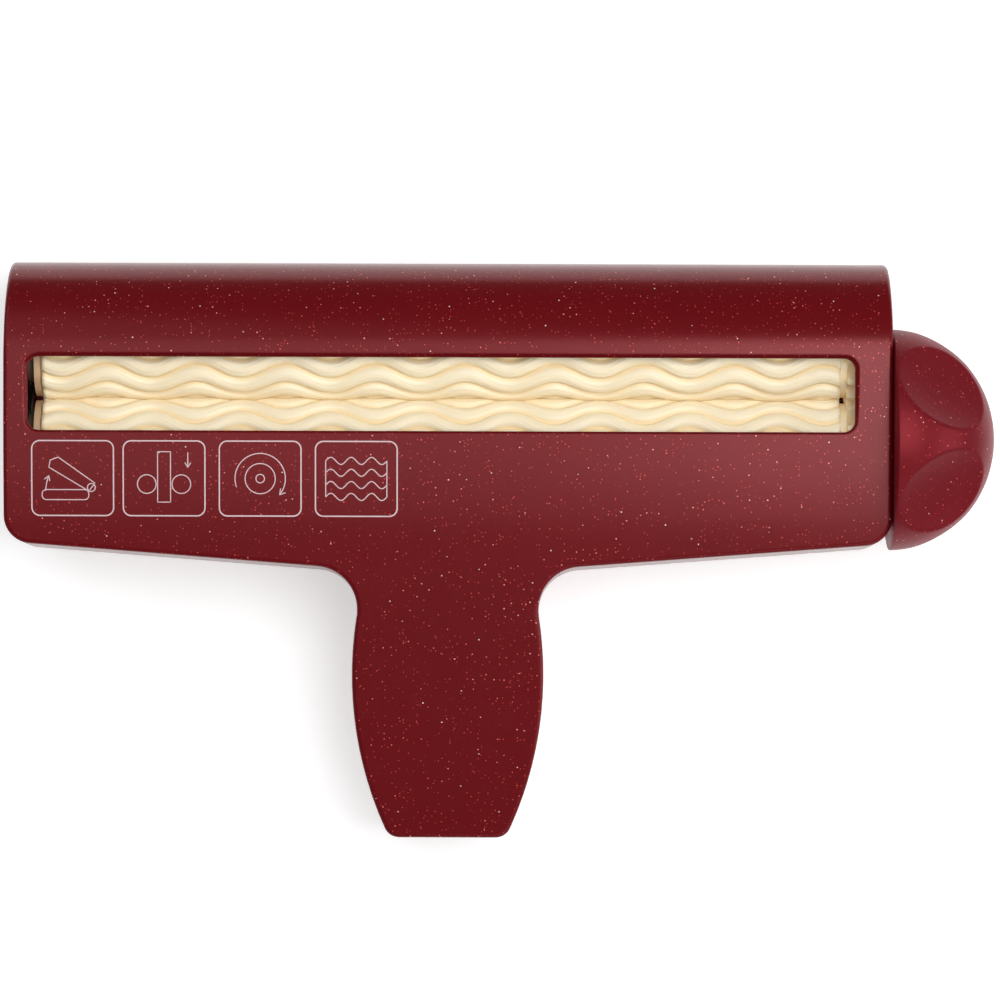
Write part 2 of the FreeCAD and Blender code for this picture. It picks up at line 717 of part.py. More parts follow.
def cradle_screws():
    """Four screws, driven up through the cradles' ears into the hood's posts."""
    screws = []
    for side in (-1, 1):
        for number in range(2):
            x = side * cradle_screw_x(number)
            tag = f"cradle_screw{len(screws)}"
            head_low = ear_height - mm.screw_head_thickness
            head = cylinder(tag + "_head", mm.screw_head_radius, (x, ear_middle, head_low),
                            mm.screw_head_thickness, "Z")
            shank = cylinder(tag + "_shank", mm.screw_radius, (x, ear_middle, ear_height),
                             mm.screw_length, "Z")
            screws.append(fuse(tag, head, shank))
    finish(fuse("cradle_screw_group", *screws), "cradle_screws")


def bracket_screws():
    """Four screws, driven through the brackets into the lower handle's end walls."""
    screws = []
    for side in (-1, 1):
        for y in bracket_screw_ys():
            tag = f"bracket_screw{len(screws)}"
            head = across(tag + "_head", mm.screw_head_radius, y, mm.bracket_screw_height,
                          (plate_outside, plate_outside + mm.screw_head_thickness), side)
            shank = across(tag + "_shank", mm.screw_radius, y, mm.bracket_screw_height,
                           (plate_outside - mm.screw_length, plate_outside), side)
            screws.append(fuse(tag, head, shank))
    finish(fuse("bracket_screw_group", *screws), "bracket_screws")


# ---------------------------------------------------------------- rollers, gears and knob


def roller_stations():
    """Places along a roller for its sections, so that every wave crest and trough has one."""
    left = roller_left.value
    right = roller_right.value
    step = mm.wave_length.value / STATIONS_PER_WAVE
    first_crest = left + mm.first_wave.value
    steps_back = math.floor((first_crest - left) / step - 0.25)
    inner = [first_crest + (number - steps_back) * step
             for number in range(int((right - left) / step) + 2)]
    return [left] + [x for x in inner if left + step / 4 < x < right - step / 4] + [right]


def ridged_section(x, axis_y, toward_nip, first_ridge):
    """One cross-section of a roller: flat-topped ridges, swung round by the wave at this place."""
    wave = 2 * math.pi * (x - roller_left.value - mm.first_wave.value) / mm.wave_length.value
    pitch_radius = mm.shaft_spacing.value / 2
    swing = -mm.wave_rise.value / pitch_radius * math.cos(wave)
    pitch_angle = 2 * math.pi / RIDGES
    top = mm.ridge_flat.value / 2 / mm.ridge_radius.value
    bottom = mm.valley_flat.value / 2 / mm.valley_radius.value
    points = []
    for ridge in range(RIDGES):
        middle = math.radians(first_ridge) + ridge * pitch_angle + swing
        for angle, radius in ((middle - top, mm.ridge_radius.value),
                              (middle + top, mm.ridge_radius.value),
                              (middle + pitch_angle / 2 - bottom, mm.valley_radius.value),
                              (middle + pitch_angle / 2 + bottom, mm.valley_radius.value)):
            y = axis_y + toward_nip * radius * math.sin(angle)
            points.append(FreeCAD.Vector(x, y, mm.axis_height.value + radius * math.cos(angle)))
    return Part.makePolygon(points + points[:1])


def ridged_roller(name, axis_side, first_ridge):
    """Wave-ridged roller: a skin lofted through its cross-sections, closed round the shaft's bore."""
    axis_y = (axis_side * axis_offset).value
    stations = roller_stations()
    sections = [ridged_section(x, axis_y, -axis_side, first_ridge) for x in stations]
    along = FreeCAD.Vector(1, 0, 0)
    ends = []
    for section, x in ((sections[0], stations[0]), (sections[-1], stations[-1])):
        centre = FreeCAD.Vector(x, axis_y, mm.axis_height.value)
        hole = Part.Wire([Part.makeCircle(mm.shaft_radius.value, centre, along)])
        ends += Part.makeFace([section, hole], "Part::FaceMakerBullseye").Faces
    start = FreeCAD.Vector(stations[0], axis_y, mm.axis_height.value)
    bore = Part.makeCylinder(mm.shaft_radius.value, mm.roller_length.value, start, along)
    skin = Part.makeShell(Part.makeLoft(sections, False, True).Faces + ends + bore.Faces[:1])
    skin.sewShape()
    roller = doc.addObject("Part::Feature", name + "_moulding")
    roller.Shape = Part.makeSolid(skin)
    finish(roller, name)


def roller_cap(name, axis_side):
    """Smooth plug at a roller's left end, with a groove next to the ridges."""
    length = mm.cap_thickness + mm.cap_neck
    start = (roller_left - length, axis_side * axis_offset, mm.axis_height)
    disc = cylinder(name + "_disc", mm.cap_radius, start, mm.cap_thickness)
    neck = cylinder(name + "_neck", mm.cap_neck_radius, start, length)
    bore = cylinder(name + "_bore", mm.shaft_radius, start, length)
    finish(cut(name + "_turned", fuse(name + "_blank", disc, neck), bore), name)


def spur_gear(name, axis_side, first_tooth):
    """Deep-toothed gear on the right end of a roller, with a hub on each side."""
    axis_y = axis_side * axis_offset
    start_x = roller_right + mm.gear_inset
    body = doc.addObject("PartDesign::Body", name + "_toothed")
    disc_sketch = new_sketch(body, name + "_disc_sketch", "YZ_Plane")
    disc_sketch.addGeometry(Part.Circle(FreeCAD.Vector(), FreeCAD.Vector(0, 0, 1),
                                        mm.gear_root_radius.value), False)
    disc_sketch.addConstraint(Sketcher.Constraint("Coincident", 0, 3, -1, 1))
    held = disc_sketch.addConstraint(Sketcher.Constraint("Radius", 0, mm.gear_root_radius.value))
    bind(disc_sketch, f"Constraints[{held}]", mm.gear_root_radius)
    disc = body.newObject("PartDesign::Pad", name + "_disc")
    disc.Profile = disc_sketch
    bind(disc, "Length", mm.gear_face)
    doc.recompute()
    tooth_sketch = new_sketch(body, name + "_tooth_sketch", "YZ_Plane")
    root_half = mm.tooth_root / 2
    draw(tooth_sketch, [(-root_half, mm.gear_root_radius / 2), (root_half, mm.gear_root_radius / 2),
                        (root_half, root(mm.gear_root_radius * mm.gear_root_radius - root_half * root_half)),
                        (mm.tooth_tip / 2, mm.gear_tip_radius), (-mm.tooth_tip / 2, mm.gear_tip_radius),
                        (-root_half, root(mm.gear_root_radius * mm.gear_root_radius - root_half * root_half))])
    tooth = body.newObject("PartDesign::Pad", name + "_tooth")
    tooth.Profile = tooth_sketch
    bind(tooth, "Length", mm.gear_face)
    doc.recompute()
    teeth = body.newObject("PartDesign::PolarPattern", name + "_teeth")
    teeth.Originals = [tooth]
    teeth.Axis = (next(item for item in body.Origin.OriginFeatures if item.Role == "X_Axis"), [""])
    teeth.Angle = 360
    teeth.Occurrences = GEAR_TEETH
    body.Tip = teeth
    turn = FreeCAD.Rotation(FreeCAD.Vector(1, 0, 0), axis_side * first_tooth)
    body.Placement = FreeCAD.Placement(FreeCAD.Vector(), turn)
    place(body, start_x, axis_y, mm.axis_height)
    hub_end = bush_face - mm.gear_inset / 4
    hub = cylinder(name + "_hub", mm.gear_hub_radius, (roller_right, axis_y, mm.axis_height),
                   hub_end - roller_right)
    shoulder = cylinder(name + "_shoulder", mm.gear_shoulder_radius, (roller_right, axis_y, mm.axis_height),
                        mm.gear_inset)
    bore = cylinder(name + "_bore", mm.shaft_radius, (roller_right, axis_y, mm.axis_height),
                    hub_end - roller_right)
    finish(cut(name + "_moulding", fuse(name + "_blank", body, hub, shoulder), bore), name)


def roller_shaft(name, axis_side, right_end):
    """Steel rod, held by a sketch of its section so that its Placement is the part's own."""
    body = doc.addObject("PartDesign::Body", name + "_rod")
    sketch = new_sketch(body, name + "_section", "YZ_Plane")
    sketch.addGeometry(Part.Circle(FreeCAD.Vector(0, 0, 0), FreeCAD.Vector(0, 0, 1),
                                   mm.shaft_radius.value), False)
    for kind, size in (("DistanceX", axis_side * axis_offset), ("DistanceY", mm.axis_height)):
        held = sketch.addConstraint(Sketcher.Constraint(kind, -1, 1, 0, 3, size.value))
        bind(sketch, f"Constraints[{held}]", size)
    held = sketch.addConstraint(Sketcher.Constraint("Radius", 0, mm.shaft_radius.value))
    bind(sketch, f"Constraints[{held}]", mm.shaft_radius)
    bind(sketch, "AttachmentOffset.Base.z", -plate_outside)
    pad = body.newObject("PartDesign::Pad", name + "_pad")
    pad.Profile = sketch
    bind(pad, "Length", right_end + plate_outside)
    body.Tip = pad
    finish(body, name)


def knob():
    """Half-ellipsoid knob with finger dimples round it, hollow on its flat side round a hub."""
    to_right = FreeCAD.Rotation(FreeCAD.Vector(0, 1, 0), 90)
    dome = doc.addObject("Part::Ellipsoid", "knob_dome")
    dome.Angle1 = 0
    bind(dome, "Radius1", mm.knob_depth)
    bind(dome, "Radius2", mm.knob_radius)
    bind(dome, "Radius3", mm.knob_radius)
    dome.Placement = FreeCAD.Placement(FreeCAD.Vector(), to_right)
    place(dome, knob_base, -axis_offset, mm.axis_height)
    dimples = [finger_dimple(number) for number in range(DIMPLES)]
    start = (knob_base, -axis_offset, mm.axis_height)
    core = cut("knob_core", cylinder("knob_core_round", mm.knob_core_radius, start, mm.knob_core_depth),
               cylinder("knob_core_hub", mm.knob_hub_radius, start, mm.knob_core_depth))
    socket = cylinder("knob_bore", mm.shaft_radius, start, mm.knob_socket)
    finish(cut("knob_moulding", dome, *dimples, core, socket), "knob")


def finger_dimple(number):
    """Ellipsoid that cuts one dimple; its long side lies along the knob's meridian."""
    tilt = math.radians(mm.dimple_tilt.value)
    around = math.radians(360 / DIMPLES * (number + 0.5))
    surface = (mm.knob_radius.value + mm.knob_depth.value) / 2
    distance = surface - mm.dimple_depth.value + mm.dimple_high.value
    outward = FreeCAD.Vector(math.sin(tilt), math.cos(tilt) * math.sin(around),
                             math.cos(tilt) * math.cos(around))
    sideways = FreeCAD.Vector(0, math.cos(around), -math.sin(around))
    meridian = sideways.cross(outward)
    turn = FreeCAD.Rotation(meridian, sideways, outward, "ZXY")
    cutter = doc.addObject("Part::Ellipsoid", f"dimple{number}")
    bind(cutter, "Radius1", mm.dimple_high)
    bind(cutter, "Radius2", mm.dimple_long)
    bind(cutter, "Radius3", mm.dimple_wide)
    cutter.Placement = FreeCAD.Placement(FreeCAD.Vector(), turn)
    place(cutter, knob_base + outward.x * distance, outward.y * distance - axis_offset,
          mm.axis_height + outward.z * distance)
    return cutter


# ---------------------------------------------------------------- the whole crimper

top_handle()
lower_handle()
for hand, hand_name in ((-1, "left"), (1, "right")):
    roller_cradle(hand, hand_name)
    drive_bracket(hand, hand_name)
    bush(f"{hand_name}_driven_bush", hand, axis_offset)
    bush(f"{hand_name}_drive_bush", hand, -axis_offset)
    hinge_pin(hand, hand_name)
cradle_screws()
bracket_screws()
for roller_name, roller_side, ridge_angle, tooth_angle in (
        ("driven", 1, MESH_ANGLE + 180 / RIDGES, GEAR_MESH_ANGLE + 180 / GEAR_TEETH),
        ("drive", -1, MESH_ANGLE, GEAR_MESH_ANGLE)):
    ridged_roller(f"{roller_name}_roller", roller_side, ridge_angle)
    roller_cap(f"{roller_name}_roller_cap", roller_side)
    spur_gear(f"{roller_name}_gear", roller_side, tooth_angle)
roller_shaft("driven_shaft", 1, plate_outside)
roller_shaft("drive_shaft", -1, knob_base + mm.knob_socket)
knob()
doc.recompute()

for item in doc.Objects:
    if "Invalid" in item.State or "Error" in item.State:
        raise RuntimeError(f"{item.Name} failed: {item.State}")
for item in subparts:
    if item.Shape.isNull() or not item.Shape.isValid():
        raise RuntimeError(f"{item.Label} has no valid shape")

os.makedirs("parts", exist_ok=True)
for item in subparts:
    item.Shape.exportStep(f"parts/{item.Label}.step")
    print(item.Label, len(item.Shape.Solids), len(item.Shape.Faces), round(item.Shape.Volume, 1))
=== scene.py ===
import math

import bmesh
import bpy
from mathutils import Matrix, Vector

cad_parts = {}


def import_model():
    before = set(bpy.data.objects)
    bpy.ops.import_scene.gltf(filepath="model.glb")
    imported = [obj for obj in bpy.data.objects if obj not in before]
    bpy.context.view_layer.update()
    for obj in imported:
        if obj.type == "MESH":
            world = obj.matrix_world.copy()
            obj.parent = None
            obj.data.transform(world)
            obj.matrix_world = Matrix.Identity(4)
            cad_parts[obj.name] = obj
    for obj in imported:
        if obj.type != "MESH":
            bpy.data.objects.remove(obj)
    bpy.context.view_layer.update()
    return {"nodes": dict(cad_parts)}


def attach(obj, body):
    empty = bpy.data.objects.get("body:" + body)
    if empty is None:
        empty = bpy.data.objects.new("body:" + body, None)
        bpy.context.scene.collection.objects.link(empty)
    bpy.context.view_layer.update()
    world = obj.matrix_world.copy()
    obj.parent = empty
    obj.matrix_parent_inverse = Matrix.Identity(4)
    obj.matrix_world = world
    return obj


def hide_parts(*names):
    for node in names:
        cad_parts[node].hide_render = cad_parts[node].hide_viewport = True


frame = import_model()
nodes = frame["nodes"]

# Places are given in metres, with X = 0 in the middle of the head, Y = 0 at the nip between the
# rollers and Z = 0 on the table. ROW_SHIFT takes them to the row frame.
ROW_SHIFT = Vector((-0.01475, 0.04215, 0))
SAME_PLACE = 0.000001  # points closer together than this are one point

AXIS_HEIGHT = 0.0325
AXIS_OFFSET = 0.011
ROLLER_ENDS = (-0.11335, 0.10945)
RIDGE_RADIUS = 0.01175
VALLEY_RADIUS = 0.00955
RIDGES = 12
WAVE_LENGTH = 0.02504
WAVE_RISE = 0.0022
FIRST_WAVE = -0.09555
MESH_ANGLE = math.radians(80)
FRONT_HEIGHT = 0.0495
CREST_Y = 0.0107
CROWN_RADIUS = 0.4
KNOB_BASE = 0.12395
KNOB_RADIUS = 0.031
KNOB_DEPTH = 0.0292
DIMPLES = 5
DIMPLE_TILT = math.radians(31)
DIMPLE_DEPTH = 0.0040
DIMPLE_HALVES = (0.030, 0.041, 0.072)


# ---------------------------------------------------------------- small helpers


def new_object(name, verts, faces, smooth=True):
    mesh = bpy.data.meshes.new(name)
    mesh.from_pydata([Vector(v) + ROW_SHIFT for v in verts], [], faces)
    mesh.update()
    obj = bpy.data.objects.new(name, mesh)
    bpy.context.scene.collection.objects.link(obj)
    if smooth:
        for polygon in mesh.polygons:
            polygon.use_smooth = True
    return obj


def fix_normals(obj):
    shape = bmesh.new()
    shape.from_mesh(obj.data)
    bmesh.ops.recalc_face_normals(shape, faces=shape.faces)
    shape.to_mesh(obj.data)
    shape.free()


def grid_faces(rows, columns):
    """Quads over rows of points, where each row closes into a ring."""
    faces = []
    for r in range(rows - 1):
        for c in range(columns):
            d = (c + 1) % columns
            faces.append((r * columns + c, r * columns + d,
                          (r + 1) * columns + d, (r + 1) * columns + c))
    return faces


def front_height_at(y):
    """Height of the crowned front face at a distance from the nip."""
    return FRONT_HEIGHT - CROWN_RADIUS + math.sqrt(CROWN_RADIUS ** 2 - (y - CREST_Y) ** 2)


# ---------------------------------------------------------------- materials


class Shader:
    """A node tree being built for one material."""

    SOCKETS = {"color": "Base Color", "roughness": "Roughness", "metallic": "Metallic",
               "specular": "Specular IOR Level", "tint": "Specular Tint", "ior": "IOR",
               "subsurface": "Subsurface Weight", "scatter": "Subsurface Scale",
               "radius": "Subsurface Radius",
               "glow_color": "Emission Color", "glow": "Emission Strength"}

    def __init__(self, name):
        self.material = bpy.data.materials.new(name)
        self.material.use_nodes = True
        self.tree = self.material.node_tree
        self.surface = self.tree.nodes["Principled BSDF"]
        self.where = self.add("ShaderNodeTexCoord").outputs["Object"]

    def add(self, kind, **settings):
        node = self.tree.nodes.new(kind)
        for key, value in settings.items():
            setattr(node, key, value)
        return node

    def feed(self, socket, value):
        if isinstance(value, bpy.types.NodeSocket):
            self.tree.links.new(value, socket)
        else:
            socket.default_value = value

    def math(self, operation, first, second=0.0):
        node = self.add("ShaderNodeMath", operation=operation)
        self.feed(node.inputs[0], first)
        self.feed(node.inputs[1], second)
        return node.outputs[0]

    def noise(self, scale, detail=2.0, stretch=None):
        node = self.add("ShaderNodeTexNoise")
        node.inputs["Scale"].default_value = scale
        node.inputs["Detail"].default_value = detail
        if stretch is None:
            self.feed(node.inputs["Vector"], self.where)
        else:
            mapping = self.add("ShaderNodeMapping")
            mapping.inputs["Scale"].default_value = stretch
            self.feed(mapping.inputs["Vector"], self.where)
            self.feed(node.inputs["Vector"], mapping.outputs["Vector"])
        return node.outputs["Fac"]

    def ramp(self, factor, stops):
        """A color that runs over the stops, given as (position, color)."""
        node = self.add("ShaderNodeValToRGB")
        elements = node.color_ramp.elements
        while len(elements) < len(stops):
            elements.new(0.5)
        for element, (position, color) in zip(elements, stops):
            element.position = position
            element.color = (*color, 1)
        self.feed(node.inputs["Fac"], factor)
        return node.outputs["Color"]

    def spread(self, factor, low, high, start=0.0, end=1.0):
        """A value that goes from low to high while the factor goes from start to end."""
        node = self.add("ShaderNodeMapRange")
        self.feed(node.inputs["Value"], factor)
        for key, value in (("From Min", start), ("From Max", end),
                           ("To Min", low), ("To Max", high)):
            node.inputs[key].default_value = value
        return node.outputs["Result"]

    def mix(self, factor, first, second):
        """A color between two, each a socket or a plain (red, green, blue)."""
        node = self.add("ShaderNodeMix", data_type="RGBA")
        self.feed(node.inputs["Factor"], factor)
        for key, color in (("A", first), ("B", second)):
            self.feed(node.inputs[key], (*color, 1) if isinstance(color, tuple) else color)
        return node.outputs["Result"]

    def set(self, **values):
        for key, value in values.items():
            self.feed(self.surface.inputs[self.SOCKETS[key]], value)

    def bump(self, height, distance, strength=1.0, edge=None):
        """Surface relief; with an edge radius the sharp edges catch the light as rounded ones."""
        node = self.add("ShaderNodeBump")
        if edge is not None:
            bevel = self.add("ShaderNodeBevel")
            bevel.samples = 6
            bevel.inputs["Radius"].default_value = edge
            self.feed(node.inputs["Normal"], bevel.outputs["Normal"])
        node.inputs["Strength"].default_value = strength
        node.inputs["Distance"].default_value = distance
        self.feed(node.inputs["Height"], height)
        self.feed(self.surface.inputs["Normal"], node.outputs["Normal"])


# Flecks of glitter: cells to a metre, size within a cell, share of the cells with a fleck, and
# the colors that they are drawn from
FAINT_FLECKS = (1000, 0.24, 0.4)
FAINT_COLORS = [(0.0, (0.28, 0.012, 0.018)), (1.0, (0.5, 0.05, 0.05))]
# The flecks are real glitter, but the pale pinks and white of the bright ones are partly painted
# glints, standing for the sparkle of the flakes
BRIGHT_FLECKS = (560, 0.12, 0.5)
FLECK_AND_GLINT_COLORS = [(0.0, (0.7, 0.06, 0.05)), (0.6, (0.85, 0.2, 0.18)),
                 (0.85, (0.9, 0.45, 0.4)), (1.0, (1.0, 0.85, 0.8))]
CLOUD_SHADE = 0.86  # the darkest of the plastic's soft clouds, as a share of its color

CREAM_PAINTED_GLOW = 0.05  # painted glow that lifts the cream plastic, mostly seen where it lies in shade, as on the near roller and in the nip; it is meant for the light that comes through the thin plastic from behind
CREAM_PAINTED_GLOW_COLOR = (1.0, 0.62, 0.22)
# Places on the way across from the middle of a ridge (0) to the middle of a valley (1)
VALLEY_SHADE_FROM = 0.74  # where the painted golden shade of the valleys begins
LINE_AT, LINE_WIDTH = 0.34, 0.16  # a fine groove on each side of the ridge
VALLEY_SHADE_SHARE = 0.9  # of the painted golden shade in the middle of a valley


def glitter_layer(shader, scale, size, share):
    """Specks on scattered cells: (mask, a random value for each cell)."""
    cells = shader.add("ShaderNodeTexVoronoi")
    cells.inputs["Scale"].default_value = scale
    shader.feed(cells.inputs["Vector"], shader.where)
    split = shader.add("ShaderNodeSeparateColor")
    shader.feed(split.inputs["Color"], cells.outputs["Color"])
    chosen = shader.math("GREATER_THAN", split.outputs["Red"], 1 - share)
    near = shader.spread(cells.outputs["Distance"], 1.0, 0.0, size * 0.75, size)
    return shader.math("MULTIPLY", chosen, near), split.outputs["Green"]


def glitter_plastic(name, color=(0.160, 0.0030, 0.0060), gloss=(0.2, 0.26), shine=0.44, ior=1.36,
                    flake=0.2, tint=(1, 1, 1), edge=0.0007):
    """Dark red plastic with flecks; gloss is the least and the most of its roughness."""
    shader = Shader(name)
    deep = tuple(channel * CLOUD_SHADE for channel in color)
    base = shader.mix(shader.noise(26, 3), deep, color)
    for flecks, colors in ((FAINT_FLECKS, FAINT_COLORS), (BRIGHT_FLECKS, FLECK_AND_GLINT_COLORS)):
        mask, pick = glitter_layer(shader, *flecks)
        base = shader.mix(mask, base, shader.ramp(pick, colors))
    shader.set(color=base, roughness=shader.spread(shader.noise(140, 3), *gloss),
               metallic=flake, specular=shine, ior=ior, tint=(*tint, 1))
    shader.bump(shader.noise(3200, 2), 0.00002, 0.35, edge=edge)
    return shader.material


def cream_plastic(name, pale=(0.97, 0.87, 0.66), deep=(0.92, 0.80, 0.56),
                  valley_shade=(0.88, 0.68, 0.36)):
    """Satin cream plastic with a faint painted glow. Where a mesh has an "across" attribute
    (0 on a ridge, 1 in a valley), its valleys take a painted golden shade and a fine line runs
    along each side of a ridge."""
    shader = Shader(name)
    across = shader.add("ShaderNodeAttribute", attribute_name="across").outputs["Fac"]
    painted_valley_shade = shader.spread(across, 0.0, VALLEY_SHADE_SHARE, VALLEY_SHADE_FROM, 1.0)
    # Painted shade: the valleys are mixed toward gold, for the warm light the cream throws into
    # its own crevices
    base = shader.mix(painted_valley_shade, shader.mix(shader.noise(60, 4), deep, pale), valley_shade)
    # Painted light: the faint emission set here makes the cream glow, though it is no lamp
    shader.set(color=base, roughness=shader.spread(shader.noise(220, 3), 0.34, 0.46),
               subsurface=0.2, scatter=0.0015, radius=(1.0, 0.8, 0.5),
               glow_color=(*CREAM_PAINTED_GLOW_COLOR, 1), glow=CREAM_PAINTED_GLOW)
    off_line = shader.math("ABSOLUTE", shader.math("SUBTRACT", across, LINE_AT))
    line = shader.spread(off_line, 1.0, 0.0, 0.0, LINE_WIDTH)
    grain = shader.math("MULTIPLY", shader.noise(900, 2, (1, 4, 4)), 0.25)
    shader.bump(shader.math("SUBTRACT", grain, line), 0.00012, 0.8)
    return shader.material


def dark_plastic(name):
    shader = Shader(name)
    # The red-brown tint is painted shade, for the red shell's inner wall in shade where the plates
    # show beside the roller caps; the crosses in the screw heads take this colour as painted shade
    # too
    base = shader.mix(shader.noise(90, 4), (0.026, 0.010, 0.009), (0.040, 0.017, 0.015))
    shader.set(color=base, roughness=shader.spread(shader.noise(300, 3), 0.48, 0.62),
               specular=0.15)
    shader.bump(shader.noise(2600, 2), 0.00003, 0.4)
    return shader.material


def nylon_in_painted_shade(name):
    shader = Shader(name)
    # The bushes' dark brown is painted shade: it keeps them as dark as the shaded corners of the
    # window around them
    base = shader.mix(shader.noise(120, 3), (0.20, 0.12, 0.08), (0.27, 0.17, 0.11))
    shader.set(color=base, roughness=0.45, subsurface=0.1, scatter=0.001)
    shader.bump(shader.noise(1500, 2), 0.00002, 0.3)
    return shader.material


def drawn_steel(name):
    shader = Shader(name)
    streaks = shader.noise(900, 3, (0.04, 1, 1))
    base = shader.mix(streaks, (0.44, 0.44, 0.46), (0.6, 0.6, 0.62))
    shader.set(color=base, metallic=1.0, roughness=shader.spread(streaks, 0.22, 0.4))
    shader.bump(streaks, 0.00001, 0.3)
    return shader.material


def print_ink(name):
    shader = Shader(name)
    worn = shader.noise(1800, 3)
    base = shader.mix(worn, (0.62, 0.42, 0.44), (0.78, 0.62, 0.64))
    shader.set(color=base, roughness=shader.spread(worn, 0.4, 0.55))
    return shader.material


RED = glitter_plastic("red_glitter_plastic")
# The knob's red is a lighter copy of the head's red: painted light, for the extra light that falls
# on the knob from the right and below
LIT_KNOB_RED = glitter_plastic("satin_red_glitter_plastic", color=(0.184, 0.0095, 0.0155),
                           gloss=(0.36, 0.42), shine=0.6, ior=1.24, flake=0.25,
                           tint=(0.95, 0.58, 0.62), edge=None)
CREAM = cream_plastic("cream_plastic")
# The gears take a warmer, more golden copy of the cream: painted shade, for the warm light in the
# shade where they sit under the window's edge
GEAR_WARM_SHADE_CREAM = cream_plastic("gear_painted_warm_shade_cream_plastic", pale=(0.97, 0.83, 0.58), deep=(0.93, 0.77, 0.50))
# The roller caps take a darker, browner copy of the cream: painted shade, as they sit in the shade
# under the window's left edge
CAP_SHADED_CREAM = cream_plastic("cap_painted_shade_cream_plastic", pale=(0.66, 0.47, 0.30), deep=(0.54, 0.36, 0.21))
DARK_PLASTIC_AND_SHADE = dark_plastic("black_plastic_and_painted_shade")
SHADED_NYLON = nylon_in_painted_shade("nylon_in_painted_shade")
STEEL = drawn_steel("drawn_steel")
INK = print_ink("pale_pink_print")

BY_NODE = {
    "top_handle": RED, "lower_handle": RED, "knob": LIT_KNOB_RED,
    "left_roller_cradle": DARK_PLASTIC_AND_SHADE, "right_roller_cradle": DARK_PLASTIC_AND_SHADE,
    "left_drive_bracket": DARK_PLASTIC_AND_SHADE, "right_drive_bracket": DARK_PLASTIC_AND_SHADE,
    "drive_roller": CREAM, "driven_roller": CREAM,
    "drive_roller_cap": CAP_SHADED_CREAM, "driven_roller_cap": CAP_SHADED_CREAM,
    "drive_gear": GEAR_WARM_SHADE_CREAM, "driven_gear": GEAR_WARM_SHADE_CREAM,
    "drive_shaft": STEEL, "driven_shaft": STEEL,
    "left_drive_bush": SHADED_NYLON, "right_drive_bush": SHADED_NYLON,
    "left_driven_bush": SHADED_NYLON, "right_driven_bush": SHADED_NYLON,
    "left_hinge_pin": STEEL, "right_hinge_pin": STEEL,
    "cradle_screws": STEEL, "bracket_screws": STEEL,
}
for node_name, material in BY_NODE.items():
    nodes[node_name].data.materials.clear()
    nodes[node_name].data.materials.append(material)


# ---------------------------------------------------------------- rollers

TOP_POWER, FLANK_POWER = 2.6, 0.75  # how flat a ridge's top is, and how steep its sides are
POINTS_TO_A_RIDGE = 14
RINGS_TO_A_WAVE = 26


def roller_section(angle):
    """(radius, share of the way from ridge to valley) at an angle from the middle of a ridge."""
    step = 2 * math.pi / RIDGES
    share = abs((angle + step / 2) % step - step / 2) / (step / 2)
    rise = (1 - share ** TOP_POWER) ** FLANK_POWER
    return VALLEY_RADIUS + (RIDGE_RADIUS - VALLEY_RADIUS) * rise, share


def wave_roller(name, axis_side, first_ridge, node, body):
    """A roller whose ridges swing to and fro round it along its length."""
    around = RIDGES * POINTS_TO_A_RIDGE
    length = ROLLER_ENDS[1] - ROLLER_ENDS[0]
    along = int(length / WAVE_LENGTH * RINGS_TO_A_WAVE)
    verts, across = [], []
    for i in range(along + 1):
        x = ROLLER_ENDS[0] + length * i / along
        swing = -WAVE_RISE / AXIS_OFFSET * math.cos(2 * math.pi * (x - FIRST_WAVE) / WAVE_LENGTH)
        for j in range(around):
            angle = 2 * math.pi * j / around
            radius, share = roller_section(angle)
            turned = first_ridge + angle + swing
            verts.append((x, axis_side * AXIS_OFFSET - axis_side * radius * math.sin(turned),
                          AXIS_HEIGHT + radius * math.cos(turned)))
            across.append(share)
    faces = grid_faces(along + 1, around)
    if axis_side < 0:
        faces = [tuple(reversed(face)) for face in faces]
    ends = [list(range(around)), [along * around + j for j in range(around)]]
    obj = new_object(name, verts, faces + ends)
    for polygon in obj.data.polygons[-len(ends):]:
        polygon.use_smooth = False
    obj.data.attributes.new("across", "FLOAT", "POINT").data.foreach_set("value", across)
    fix_normals(obj)
    obj.data.materials.append(CREAM)
    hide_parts(node)
    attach(obj, body)


HALF_STEP = math.pi / RIDGES
wave_roller("wave_drive_roller", -1, MESH_ANGLE, "drive_roller", "drive")
wave_roller("wave_driven_roller", 1, MESH_ANGLE + HALF_STEP, "driven_roller", "driven")


# ---------------------------------------------------------------- cross recesses of the screws, drawn as painted shade

CROSS_REACH = 0.0013
CROSS_HALF_WIDTH = 0.00033
CROSS_PROUD, CROSS_SUNK = 0.00002, 0.0001  # from the face of the head, outward and inward


def separate_solids(obj):
    """The corner points of each separate solid of a node."""
    shape = bmesh.new()
    shape.from_mesh(obj.data)
    bmesh.ops.remove_doubles(shape, verts=shape.verts, dist=SAME_PLACE)
    seen, groups = set(), []
    for first in shape.verts:
        if first in seen:
            continue
        seen.add(first)
        waiting, group = [first], []
        while waiting:
            vert = waiting.pop()
            group.append(obj.matrix_world @ vert.co - ROW_SHIFT)
            for edge in vert.link_edges:
                other = edge.other_vert(vert)
                if other not in seen:
                    seen.add(other)
                    waiting.append(other)
        groups.append(group)
    shape.free()
    return groups


